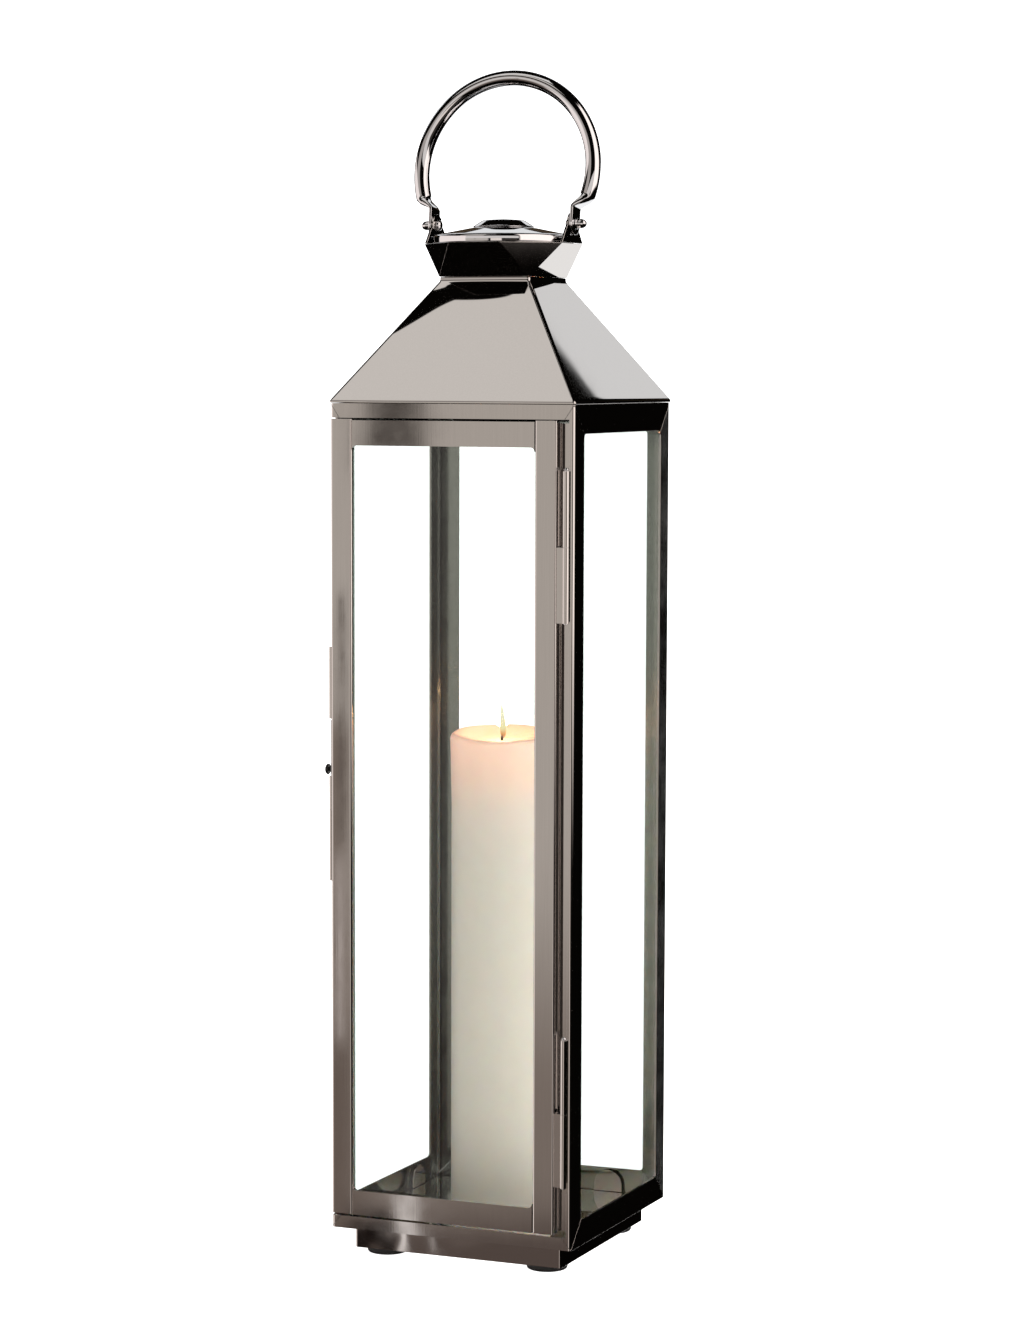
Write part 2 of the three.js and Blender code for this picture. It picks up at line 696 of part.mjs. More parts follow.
[['lower', HINGE_Z[0]], ['upper', HINGE_Z[1]]].forEach(([name, height]) => {
  const z = BASE + height;
  add(`hinge_${name}_post_leaf`, geometry(knuckle(z + GAP / 2, POST_LEAF)), STEEL);
  add(`hinge_${name}_door_leaf`, geometry(knuckle(z - GAP / 2 - KNUCKLE_L, DOOR_LEAF)), STEEL, door);
  add(`hinge_${name}_pin`, hingePin(z), CHROME);
});

// ---- latch: a barrel bolt that slides up into its keeper ----
function barrel([low, high], plateY, boreR) {
  const z0 = BASE + low;
  const z1 = BASE + high;
  const outside = solid(raise(disc(BARREL_R, LATCH_X, LATCH_Y), z0, z1, 10));
  const plate = solid(block([-HALF - GAP - 0.9, -HALF - GAP], plateY, [z0, z1]));
  const bore = solid(raise(disc(boreR, LATCH_X, LATCH_Y), z0 - 1, z1 + 1, 10));
  return geometry(cut(join(outside, plate), bore));
}

function boltRod() {
  const low = BASE + BARREL_Z[0] + 4;
  const high = BASE + KEEPER_Z[0] - 1;
  const rod = raise(disc(BOLT_R), low, high, 8);
  return rod.translate(LATCH_X, LATCH_Y, 0);
}

function knob() {
  const x = LATCH_X - BOLT_R - GAP;
  const stem = 1.2;
  return turnAlongX([
    [0, 0],
    [2.2, 0],
    [2.2, stem],
    [4.4, stem + 0.3],
    [4.7, stem + 1.1],
    [4.3, stem + 2.2],
    [2.6, stem + 3],
    [0, stem + 3.3],
  ], 0, 0, 0, 20).rotateZ(Math.PI).translate(x, LATCH_Y, BASE + KNOB_Z);
}

const DOOR_PLATE_Y = [-HALF + 3.5, LATCH_Y + 0.5];
const POST_PLATE_Y = [LATCH_Y - 0.5, LATCH_Y + 10];
add('latch_keeper', barrel(KEEPER_Z, POST_PLATE_Y, KEEPER_BORE_R), STEEL);
add('latch_guide', barrel(GUIDE_Z, DOOR_PLATE_Y, GUIDE_BORE_R), STEEL, door);
add('latch_barrel', barrel(BARREL_Z, DOOR_PLATE_Y, GUIDE_BORE_R), STEEL, door);
add('latch_bolt', boltRod(), CHROME, door);
add('latch_knob', knob(), BLACK, door);

// ---- candle with a melted hollow, and its wick ----
const CANDLE_Z = FLOOR_TOP + GAP;
const RIM_Z = CANDLE_Z + CANDLE_H;

function candleBody() {
  return turn([
    [0, CANDLE_Z],
    [CANDLE_R - 1.5, CANDLE_Z],
    [CANDLE_R, CANDLE_Z + 1.5],
    [CANDLE_R, RIM_Z - 3],
    [CANDLE_R - 1, RIM_Z - 0.6],
    [CANDLE_R - 2.4, RIM_Z],
    [CANDLE_R - 5, RIM_Z - 1.2],
    [CANDLE_R - 12, RIM_Z - 6.5],
    [CANDLE_R - 24, RIM_Z - 9.5],
    [WICK_R + GAP, RIM_Z - 10],
    [WICK_R + GAP, RIM_Z - 18],
    [0, RIM_Z - 18],
  ], 48);
}

function wickCord() {
  return turn([
    [0, RIM_Z - 18 + GAP],
    [WICK_R, RIM_Z - 18 + GAP],
    [WICK_R, RIM_Z - 0.5],
    [WICK_R * 0.6, RIM_Z + 0.5],
    [0, RIM_Z + 0.7],
  ], 12);
}
add('candle', candleBody(), WAX);
add('wick', wickCord(), COTTON);

export default lantern;
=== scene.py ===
"""A polished-steel candle lantern: mirror sheet, float glass, a ring handle and a lit candle."""
import json
import math

import bmesh
import bpy
import numpy as np
from mathutils import Matrix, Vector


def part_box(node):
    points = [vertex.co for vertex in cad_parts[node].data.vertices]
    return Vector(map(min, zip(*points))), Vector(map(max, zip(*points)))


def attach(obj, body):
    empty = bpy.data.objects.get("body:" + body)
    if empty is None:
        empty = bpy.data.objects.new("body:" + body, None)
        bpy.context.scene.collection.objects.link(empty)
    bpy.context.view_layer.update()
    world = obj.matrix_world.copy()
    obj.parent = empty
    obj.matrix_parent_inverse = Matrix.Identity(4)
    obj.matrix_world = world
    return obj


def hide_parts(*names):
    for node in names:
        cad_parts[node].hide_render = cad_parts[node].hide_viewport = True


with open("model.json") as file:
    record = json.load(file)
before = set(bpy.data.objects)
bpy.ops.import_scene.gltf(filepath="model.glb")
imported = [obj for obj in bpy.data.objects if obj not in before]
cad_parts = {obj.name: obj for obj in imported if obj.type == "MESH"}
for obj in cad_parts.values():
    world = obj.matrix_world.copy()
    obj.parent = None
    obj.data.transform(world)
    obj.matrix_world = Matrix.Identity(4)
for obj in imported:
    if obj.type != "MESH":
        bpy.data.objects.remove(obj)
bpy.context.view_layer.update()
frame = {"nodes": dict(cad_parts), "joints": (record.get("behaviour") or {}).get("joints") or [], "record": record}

MM = 0.001
TAU = 2 * math.pi
JOINTS = {joint["name"]: joint for joint in frame["joints"]}


# ---- small helpers ----
def linear(code, strength=1.0):
    """An sRGB hex colour as linear RGBA: each channel is undone from its sRGB curve."""
    channels = [int(code[i:i + 2], 16) / 255 for i in (1, 3, 5)]
    undone = [c / 12.92 if c <= 0.04045 else ((c + 0.055) / 1.055) ** 2.4 for c in channels]
    return tuple(strength * c for c in undone) + (1.0,)


def add_node(tree, kind, settings=None, inputs=None):
    """Adds a node, sets its properties, and sets or links its inputs."""
    node = tree.nodes.new(kind)
    for key, value in (settings or {}).items():
        setattr(node, key, value)
    for key, value in (inputs or {}).items():
        if isinstance(value, bpy.types.NodeSocket):
            tree.links.new(value, node.inputs[key])
        else:
            node.inputs[key].default_value = value
    return node


def new_material(name):
    """An empty node material, with its output node."""
    material = bpy.data.materials.new(name)
    material.use_nodes = True
    tree = material.node_tree
    tree.nodes.clear()
    return material, tree, add_node(tree, "ShaderNodeOutputMaterial")


def ramp(tree, factor, stops):
    """A colour ramp with (position, colour) stops."""
    node = add_node(tree, "ShaderNodeValToRGB", None, {"Fac": factor})
    elements = node.color_ramp.elements
    while len(elements) < len(stops):
        elements.new(1.0)
    for element, (position, colour) in zip(elements, stops):
        element.position = position
        element.color = colour
    return node.outputs["Color"]


# ---- materials ----
def object_point(tree, scale=(1.0, 1.0, 1.0)):
    """Object coordinates, stretched by scale, in metres."""
    place = add_node(tree, "ShaderNodeTexCoord")
    return add_node(tree, "ShaderNodeMapping", None, {
        "Vector": place.outputs["Object"], "Scale": scale}).outputs["Vector"]


def polished_steel(name, colour, roughness, ripple_mm, grain=(1.0, 1.0, 1.0), line_mm=0.004):
    """Stainless sheet polished to a mirror. Long soft ripples left by rolling bend its
    reflections, and faint polishing lines and smears change how sharp they are. The real
    lines are a few microns wide; here they are drawn 1.2 mm apart so that they show."""
    ripple_length, line_spacing, smear_length = 45 * MM, 1.2 * MM, 30 * MM
    material, tree, output = new_material(name)
    ripple = add_node(tree, "ShaderNodeTexNoise", None, {
        "Vector": object_point(tree), "Scale": 1 / ripple_length, "Detail": 1.0, "Roughness": 0.4})
    lines = add_node(tree, "ShaderNodeTexNoise", None, {
        "Vector": object_point(tree, grain), "Scale": 1 / line_spacing, "Detail": 3.0, "Roughness": 0.6})
    smear = add_node(tree, "ShaderNodeTexNoise", None, {
        "Vector": object_point(tree), "Scale": 1 / smear_length, "Detail": 4.0, "Roughness": 0.6})
    gloss = add_node(tree, "ShaderNodeMapRange", None, {
        "Value": smear.outputs["Fac"], "From Min": 0.35, "From Max": 0.7,
        "To Min": roughness, "To Max": roughness * 1.7})
    tint = ramp(tree, lines.outputs["Fac"], [(0.3, linear(colour, 0.97)), (0.7, linear(colour, 1.01))])
    wave = add_node(tree, "ShaderNodeBump", None, {
        "Height": ripple.outputs["Fac"], "Strength": 1.0, "Distance": ripple_mm * MM})
    fine = add_node(tree, "ShaderNodeBump", None, {
        "Height": lines.outputs["Fac"], "Strength": 0.25, "Distance": line_mm * MM,
        "Normal": wave.outputs["Normal"]})
    shader = add_node(tree, "ShaderNodeBsdfPrincipled", None, {
        "Base Color": tint, "Metallic": 1.0, "Roughness": gloss.outputs["Result"],
        "Normal": fine.outputs["Normal"]})
    tree.links.new(shader.outputs["BSDF"], output.inputs["Surface"])
    return material


def float_glass(name, colour):
    """Clear soda-lime float glass: almost colourless through its face, green along its edge,
    with a very faint cloudiness where it has been wiped."""
    wipe_length = 60 * MM
    material, tree, output = new_material(name)
    haze = add_node(tree, "ShaderNodeTexNoise", None, {
        "Vector": object_point(tree), "Scale": 1 / wipe_length, "Detail": 3.0})
    tint = ramp(tree, haze.outputs["Fac"], [(0.3, linear(colour)), (0.7, linear(colour, 0.992))])
    shader = add_node(tree, "ShaderNodeBsdfPrincipled", None, {
        "Base Color": tint, "Roughness": 0.0, "IOR": 1.5, "Transmission Weight": 1.0})
    tree.links.new(shader.outputs["BSDF"], output.inputs["Surface"])
    return material


def plain_coat(name, colour, roughness, grit_mm, bump_mm, ior=1.5):
    """A moulded or coated surface with a fine grain that breaks up its shine."""
    material, tree, output = new_material(name)
    grit = add_node(tree, "ShaderNodeTexNoise", None, {
        "Vector": object_point(tree), "Scale": 1 / (grit_mm * MM), "Detail": 3.0})
    tint = ramp(tree, grit.outputs["Fac"], [(0.3, linear(colour, 0.85)), (0.7, linear(colour, 1.1))])
    bump = add_node(tree, "ShaderNodeBump", None, {
        "Height": grit.outputs["Fac"], "Strength": 1.0, "Distance": bump_mm * MM})
    shader = add_node(tree, "ShaderNodeBsdfPrincipled", None, {
        "Base Color": tint, "Roughness": roughness, "IOR": ior, "Normal": bump.outputs["Normal"]})
    tree.links.new(shader.outputs["BSDF"], output.inputs["Surface"])
    return material


def candle_wax(name, rim_z):
    """Ivory paraffin wax, cast and a little pitted. Light sinks in and comes out soft. The flame's
    pink and orange light on the top is painted in, as a painted tint in the colour and a painted
    glow in the emission, both fading over the first centimetres below the rim."""
    # how far below the rim the painted flame tint and the painted glow reach
    painted_tint_depth, painted_tint_over, glow_depth = 75 * MM, 4 * MM, 120 * MM
    mottle_size, pit_size = 14 * MM, 5 * MM
    material, tree, output = new_material(name)
    point = object_point(tree)
    height = add_node(tree, "ShaderNodeSeparateXYZ", None, {"Vector": point}).outputs["Z"]
    # painted flame tint: 0 well below the rim, 1 at it, standing in for the flame's light on the top
    painted_flame_tint = add_node(tree, "ShaderNodeMapRange", {"interpolation_type": "SMOOTHERSTEP"}, {
        "Value": height, "From Min": rim_z - painted_tint_depth, "From Max": rim_z + painted_tint_over,
        "To Min": 0.0, "To Max": 1.0}).outputs["Result"]
    # painted glow: 0 at 120 mm below the rim, 1 at the rim
    glow = add_node(tree, "ShaderNodeMapRange", None, {
        "Value": height, "From Min": rim_z - glow_depth, "From Max": rim_z}).outputs["Result"]
    mottle = add_node(tree, "ShaderNodeTexNoise", None, {
        "Vector": point, "Scale": 1 / mottle_size, "Detail": 4.0})
    body = ramp(tree, mottle.outputs["Fac"], [(0.3, linear("#e9e1d8")), (0.7, linear("#f2ece6"))])
    # the painted flame tint: warmer and pinker colours towards the rim, painted light from the flame
    warm = ramp(tree, painted_flame_tint, [
        (0.0, linear("#ece4db")), (0.45, linear("#f4e1d2")), (1.0, linear("#fbe0d0"))])
    colour = add_node(tree, "ShaderNodeMix", {"data_type": "RGBA", "blend_type": "MULTIPLY"}, {
        "Factor": 0.35, "A": warm, "B": body}).outputs["Result"]
    pits = add_node(tree, "ShaderNodeTexNoise", None, {
        "Vector": point, "Scale": 1 / pit_size, "Detail": 5.0, "Roughness": 0.55})
    bump = add_node(tree, "ShaderNodeBump", None, {
        "Height": pits.outputs["Fac"], "Strength": 0.5, "Distance": 0.25 * MM})
    # painted glow: the flame's light on the top of the wax, painted in as emission that grows towards the rim
    light = ramp(tree, glow, [
        (0.0, linear("#000000")), (0.25, linear("#2e1208")), (0.5, linear("#603222")),
        (0.75, linear("#8c5240")), (1.0, linear("#ac7560"))])
    shader = add_node(tree, "ShaderNodeBsdfPrincipled", None, {
        "Base Color": colour, "Roughness": 0.42, "IOR": 1.44, "Subsurface Weight": 0.6,
        "Subsurface Radius": (1.0, 0.6, 0.35), "Subsurface Scale": 6 * MM,
        "Emission Color": light, "Emission Strength": 0.8, "Normal": bump.outputs["Normal"]})
    tree.links.new(shader.outputs["BSDF"], output.inputs["Surface"])
    return material


def candle_flame(name, low, high):
    """Burning wax vapour: clear and faintly blue at its foot, white-yellow in the middle and
    fading to orange at its tip."""
    material, tree, output = new_material(name)
    height = add_node(tree, "ShaderNodeSeparateXYZ", None, {"Vector": object_point(tree)}).outputs["Z"]
    along = add_node(tree, "ShaderNodeMapRange", None, {
        "Value": height, "From Min": low, "From Max": high}).outputs["Result"]
    colour = ramp(tree, along, [
        (0.0, linear("#9a7468")), (0.14, linear("#f6a864")), (0.3, linear("#fff0b4")),
        (0.7, linear("#fffad8")), (1.0, linear("#fff0b0"))])
    body = ramp(tree, along, [
        (0.0, linear("#303030")), (0.16, linear("#ffffff")), (0.9, linear("#ffffff")),
        (1.0, linear("#fafafa"))])
    glow = add_node(tree, "ShaderNodeEmission", None, {"Color": colour, "Strength": 1.0})
    clear = add_node(tree, "ShaderNodeBsdfTransparent")
    mix = add_node(tree, "ShaderNodeMixShader", None, {"Fac": body})
    tree.links.new(clear.outputs["BSDF"], mix.inputs[1])
    tree.links.new(glow.outputs["Emission"], mix.inputs[2])
    tree.links.new(mix.outputs["Shader"], output.inputs["Surface"])
    return material


def pale_floor(name):
    """Matt white studio vinyl, lit so evenly that it stays almost white."""
    material, tree, output = new_material(name)
    shader = add_node(tree, "ShaderNodeBsdfPrincipled", None, {
        "Base Color": linear("#f4f4f4"), "Roughness": 0.9, "Specular IOR Level": 0.0,
        "Emission Color": linear("#ffffff"), "Emission Strength": 0.85})
    tree.links.new(shader.outputs["BSDF"], output.inputs["Surface"])
    return material


# Rails, bands, collar and door: clear reflections that bend a little, with upright polishing lines.
STEEL = polished_steel("mirror_polished_stainless", "#dfdbd8", 0.03, 0.022, (1.0, 1.0, 0.02))
# Roof: the flattest and clearest mirror, so the room stands in it with sharp edges.
ROOF_STEEL = polished_steel("mirror_polished_roof_sheet", "#dfdbd8", 0.012, 0.008, line_mm=0.0)
# Back posts: a satin brushed lengthwise, which smears the room into soft upright bands.
POST_STEEL = polished_steel("satin_polished_post", "#d8d6d2", 0.13, 0.02, (1.0, 1.0, 0.02), 0.02)
# Tray at the foot: soft pressed sheet whose large ripples make its reflections wander.
TRAY_STEEL = polished_steel("mirror_polished_tray", "#d8d3d0", 0.02, 0.16, line_mm=0.0)
# Handle, lugs, lid, button and screws: a bluer and brighter mirror than the sheet.
CHROME = polished_steel("bright_chrome_plate", "#f0f0f2", 0.025, 0.01)
# Latch: nearly black, with small bright highlights.
BLACK_NICKEL = plain_coat("black_nickel", "#0c0b0b", 0.18, 2.0, 0.01)
# Panes: almost nothing but a faint second reflection.
GLASS = float_glass("float_glass", "#f0f4f2")
# Bead round the door's pane: a dull grey-green line.
SEALANT = plain_coat("grey_silicone", "#8c9a95", 0.45, 1.5, 0.03, ior=1.42)
# Feet: dull black.
RUBBER = plain_coat("black_rubber", "#131212", 0.55, 0.8, 0.05)
# Wick: black char with no shine.
COTTON = plain_coat("charred_cotton", "#1c1410", 0.95, 0.5, 0.2)

SLOT_MATERIALS = {
    "polished_steel": STEEL,
    "chrome": CHROME,
    "dark_steel": BLACK_NICKEL,
    "glass": GLASS,
    "sealant": SEALANT,
    "rubber": RUBBER,
}
SLOT_OF = {part["node"]: part["material_slot"] for part in frame["record"]["subparts"]}
BODY_OF = {node: body for body, nodes in frame["record"]["behaviour"]["bodies"].items() for node in nodes}


# ---- making pieces ----
def finish_piece(mesh, name, material, body, slot, *nodes):
    """Makes the object, gives it its finish, and lets it ride in place of the CAD nodes."""
    mesh.materials.clear()
    mesh.materials.append(material)
    piece = bpy.data.objects.new(name, mesh)
    bpy.context.scene.collection.objects.link(piece)
    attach(piece, body)
    if nodes:
        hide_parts(*nodes)
    return piece


def shade_smooth(mesh):
    """Shades every face of the mesh smoothly."""
    mesh.polygons.foreach_set("use_smooth", np.ones(len(mesh.polygons), bool))


def eased_copy(node, ease_mm=0.4, steps=2, crease=28.0, material=None):
    """A copy of a CAD node, merged first into whole faces, with its edges rounded by
    ease_mm, for pieces whose CAD shape is right but too sharp."""
    weld_mm = 0.01      # corners closer than this become one
    flat = 0.6          # faces that meet at fewer degrees than this become one
    mesh = frame["nodes"][node].data.copy()
    shell = bmesh.new()
    shell.from_mesh(mesh)
    bmesh.ops.remove_doubles(shell, verts=shell.verts, dist=weld_mm * MM)
    bmesh.ops.dissolve_limit(
        shell, angle_limit=math.radians(flat), verts=shell.verts, edges=shell.edges)
    sharp = [e for e in shell.edges if e.is_manifold and e.calc_face_angle() > math.radians(crease)]
    bmesh.ops.bevel(
        shell, geom=sharp, offset=ease_mm * MM, segments=steps, profile=0.5, affect="EDGES",
        clamp_overlap=True)
    shell.to_mesh(mesh)
    shell.free()
    shade_smooth(mesh)
    slot = SLOT_OF[node]
    piece = finish_piece(
        mesh, f"{node}_eased", material or SLOT_MATERIALS[slot], BODY_OF[node], slot, node)
    piece.modifiers.new("flat_faces", "WEIGHTED_NORMAL").keep_sharp = True
    piece.visible_shadow = slot != "glass"
    return piece


def grid_mesh(name, points, wrap_across=True):
    """A mesh from an array of points, rows along the piece and columns round it. Every
    four neighbours make a face; the last column joins the first, and rows that shrink to
    one point are welded into a pole."""
    rows, columns = points.shape[:2]
    index = np.arange(rows * columns).reshape(rows, columns)
    right = np.roll(index, -1, axis=1) if wrap_across else index[:, 1:]
    left = index if wrap_across else index[:, :-1]
    faces = np.stack([left[:-1], right[:-1], right[1:], left[1:]], axis=-1).reshape(-1, 4)
    mesh = bpy.data.meshes.new(name)
    mesh.from_pydata(points.reshape(-1, 3).tolist(), [], faces.tolist())
    shell = bmesh.new()
    shell.from_mesh(mesh)
    bmesh.ops.remove_doubles(shell, verts=shell.verts, dist=0.002 * MM)
    bmesh.ops.recalc_face_normals(shell, faces=shell.faces)
    shell.to_mesh(mesh)
    shell.free()
    shade_smooth(mesh)
    return mesh


def rounded_outline(corners, radius, steps=5):
    """A polyline with each inner corner replaced by a short quadratic curve that starts and
    ends radius away from it, or halfway to its neighbour if that is nearer."""
    corners = np.array(corners, float)
    outline = [corners[:1]]
    t = np.linspace(0, 1, steps)[:, None]
    for before, corner, after in zip(corners[:-2], corners[1:-1], corners[2:]):
        to_before, to_after = before - corner, after - corner
        a = corner + to_before * min(0.5, radius / max(np.linalg.norm(to_before), 1e-9))
        b = corner + to_after * min(0.5, radius / max(np.linalg.norm(to_after), 1e-9))
        outline.append((1 - t) ** 2 * a + 2 * t * (1 - t) * corner + t ** 2 * b)
    outline.append(corners[-1:])
    return np.concatenate(outline)


def turned(outline, columns=96):
    """Points of an outline of (radius, height) carried once round the Z axis."""
    angle = np.linspace(0, TAU, columns, endpoint=False)
    radius, height = outline[:, :1], outline[:, 1:]
    return np.stack([
        radius * np.cos(angle), radius * np.sin(angle), height + 0 * angle], axis=-1)


def along_x(points, x, y, z, sign=1.0):
    """Turns points made about Z so that their axis runs along X, outwards by sign."""
    return np.stack([x + sign * points[..., 2], y + points[..., 0], z + sign * points[..., 1]], axis=-1)


# ---- levels taken from the frame ----
def low(node):
    """The smallest x, y and z of a CAD node, in mm."""
    return np.array(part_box(node)[0]) / MM


def high(node):
    """The largest x, y and z of a CAD node, in mm."""
    return np.array(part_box(node)[1]) / MM


PIVOT_Z = JOINTS["handle_pivot"]["pos_m"][2] / MM
LUG_FACE = high("handle_lug_right")[0]


# ---- the ring handle ----
RING_R = 78.6                   # of the bar's middle line
RING_Z = PIVOT_Z + 46.2         # the ring's centre
TUBE_R = 6.7                    # of the round bar
LEAN = math.radians(8)          # at rest, towards the back
TAB_RISE = 12.5                 # how far the flat tab goes up from the pivot before it bends
TAB_HALF_WIDTH = 9.5            # also the radius of its half-round lower end
TAB_HALF_THICK = 1.5
TAB_GAP = 0.3                   # between the lug and the tab
JOIN = math.radians(-17)        # where on the ring the bend ends, from level
PULL_AT_TAB, PULL_AT_RING = 4.5, 5.5    # how far the bend's curve is pulled along each end


def handle_surface():
    """The bar's middle line climbs the flat tab, bends out to the ring, goes round it and
    comes down the other side. Its section is a superellipse that changes from round on the
    ring to wide and thin on the tabs, whose lower ends are half round."""
    tab_x = LUG_FACE + TAB_GAP + TAB_HALF_THICK
    tab = np.linspace(PIVOT_Z - TAB_HALF_WIDTH, PIVOT_Z + TAB_RISE, 26)
    start = np.array([tab_x, PIVOT_Z + TAB_RISE])
    end = np.array([RING_R * math.cos(JOIN), RING_Z + RING_R * math.sin(JOIN)])
    pull_a = start + [0, PULL_AT_TAB]
    pull_b = end - PULL_AT_RING * np.array([-math.sin(JOIN), math.cos(JOIN)])
    bend_t = np.linspace(0, 1, 14)[1:-1]
    t = bend_t[:, None]
    bend = (1 - t) ** 3 * start + 3 * t * (1 - t) ** 2 * pull_a
    bend = bend + 3 * t ** 2 * (1 - t) * pull_b + t ** 3 * end
    angle = np.linspace(JOIN, math.pi / 2, 90)
    arc = np.stack([RING_R * np.cos(angle), RING_Z + RING_R * np.sin(angle)], axis=-1)
    half = np.concatenate([np.stack([0 * tab + tab_x, tab], axis=-1), bend, arc])

    # flat is 1 on the tab and 0 on the ring; reach is 1 at the tab's lower end
    flat = np.concatenate([np.ones(len(tab)), 1 - bend_t ** 1.5, np.zeros(len(arc))])
    reach = np.clip((PIVOT_Z - half[:, 1]) / TAB_HALF_WIDTH, 0, 1)
    wide = np.where(flat > 0, TUBE_R + (TAB_HALF_WIDTH - TUBE_R) * flat ** 0.7, TUBE_R)
    wide = wide * np.sqrt(1 - reach ** 2)
    thick = TUBE_R + (TAB_HALF_THICK - TUBE_R) * flat ** 0.6
    thick = thick * np.where(reach > 0.98, 0.2, 1.0)
    power = 2 / (2 + 4 * flat)

    mirror = slice(-2, None, -1)
    line = np.concatenate([half, half[mirror] * [-1, 1]])
    wide, thick, power = (np.concatenate([v, v[mirror]]) for v in (wide, thick, power))
    tangent = np.gradient(line, axis=0)
    tangent /= np.linalg.norm(tangent, axis=1, keepdims=True)
    columns = 32
    section = np.linspace(0, TAU, columns, endpoint=False)
    cos, sin = np.cos(section), np.sin(section)
    out = thick[:, None] * np.sign(cos) * np.abs(cos) ** power[:, None]
    side = wide[:, None] * np.sign(sin) * np.abs(sin) ** power[:, None]
    x = line[:, :1] + out * tangent[:, 1:]
    z = line[:, 1:] - out * tangent[:, :1] - PIVOT_Z
    y = side * math.cos(LEAN) + z * math.sin(LEAN)
    z = z * math.cos(LEAN) - side * math.sin(LEAN) + PIVOT_Z
    points = np.stack([x, y, z], axis=-1)
    first, last = (
        ring.mean(axis=1, keepdims=True).repeat(columns, 1) for ring in (points[:1], points[-1:]))
    return np.concatenate([first, points, last])


def make_handle():
    mesh = grid_mesh("ring_handle", handle_surface() * MM)
    return finish_piece(mesh, "ring_handle", CHROME, "handle", "chrome", "handle_ring")


# ---- lid, button, feet, screws, nuts and knob: turned pieces ----
def make_turned(name, node, corners, radius, material, place=None, columns=96):
    """A solid of revolution from (radius, height) corners rounded by radius, moved by place."""
    points = turned(rounded_outline(corners, radius), columns)
    points = place(points) if place else points
    return finish_piece(
        grid_mesh(name, points * MM), name, material, BODY_OF[node], SLOT_OF[node], node)


def make_lid():
    """A shallow cone of spun sheet with a skirt that curls in under its rim."""
    z = low("lid")[2]
    r = high("lid")[0]
    make_turned("spun_lid", "lid", [
        (0, z + 11.6), (28.6, z + 11.6), (r - 3.4, z + 6.4), (r - 1.4, z + 5.0), (r - 1.4, z),
        (r, z), (r + 0.1, z + 3.8), (r - 0.2, z + 6.4), (r - 2.2, z + 7.3), (28.6, z + 13.0),
        (26.5, z + 13.2), (0, z + 13.2)], 1.0, CHROME, columns=144)


def make_lid_button():
    """A short skirt, a sloping flank and an almost flat crown, turned about the middle."""
    z = low("lid_button")[2]
    r = high("lid_button")[0]
    top = high("lid_button")[2]
    make_turned("pressed_button", "lid_button", [
        (0, z), (r - 0.6, z), (r, z + 0.5), (r - 0.2, z + 1.0), (r - 8.5, top - 1.0), (0, top)],
        1.6, CHROME, columns=144)


def make_feet():
    """Four short round pads, narrower where they touch the floor."""
    for corner in ("front_left", "front_right", "back_left", "back_right"):
        node = f"foot_{corner}"
        middle = (low(node) + high(node)) / 2
        r = (high(node) - low(node))[0] / 2
        top = high(node)[2]

        def place(points, middle=middle):
            return points + [middle[0], middle[1], 0]
        make_turned(f"{node}_pad", node, [
            (0, 0), (r - 2.2, 0), (r - 0.6, 0.6), (r, 2.4), (r, top - 0.4), (r - 0.5, top), (0, top)],
            0.8, RUBBER, place, 64)


SCREW_SEAT = 61.0       # the inner side of the lug
NUT_SEAT = 66.6         # just outside the handle's tab


def make_fasteners():
    """A screw with a domed head from inside each lug, and a closed acorn nut outside it."""
    for side, sign in (("left", -1.0), ("right", 1.0)):
        screw, nut = f"pivot_screw_{side}", f"acorn_nut_{side}"

        def place_screw(points, start=SCREW_SEAT * sign, sign=sign):
            return along_x(points, start, 0, PIVOT_Z, sign)

        def place_nut(points, start=NUT_SEAT * sign, sign=sign):
            return along_x(points, start, 0, PIVOT_Z, sign)
        make_turned(f"{screw}_turned", screw, [
            (0, -4.0), (2.6, -3.7), (4.4, -2.4), (4.8, -0.3), (2, -0.3), (2, 9.9), (0, 9.9)],
            0.7, CHROME, place_screw, 40)
        make_turned(f"{nut}_turned", nut, [
            (0, 4.5), (2.3, 4.5), (2.3, 0), (4.6, 0), (4.6, 0.9), (3.9, 1.2), (4.1, 4.6),
            (3.4, 7.2), (1.8, 8.7), (0, 9)], 0.8, CHROME, place_nut, 40)


def make_knob():
    """A button on a short neck, standing out to the left from the bolt."""
    middle = (low("latch_knob") + high("latch_knob")) / 2
    start = high("latch_knob")[0]

    def place(points):
        return along_x(points, start, middle[1], middle[2], -1.0)
    make_turned("bolt_knob", "latch_knob", [
        (0, 0), (2.0, 0), (1.7, 0.7), (2.0, 1.2), (4.2, 1.3), (4.7, 2.0), (4.3, 3.2),
        (2.6, 4.1), (0, 4.5)], 0.6, BLACK_NICKEL, place, 40)


# ---- the candle, its wick and its flame ----
RIM_Z = high("candle")[2]
CANDLE_R = high("candle")[0]


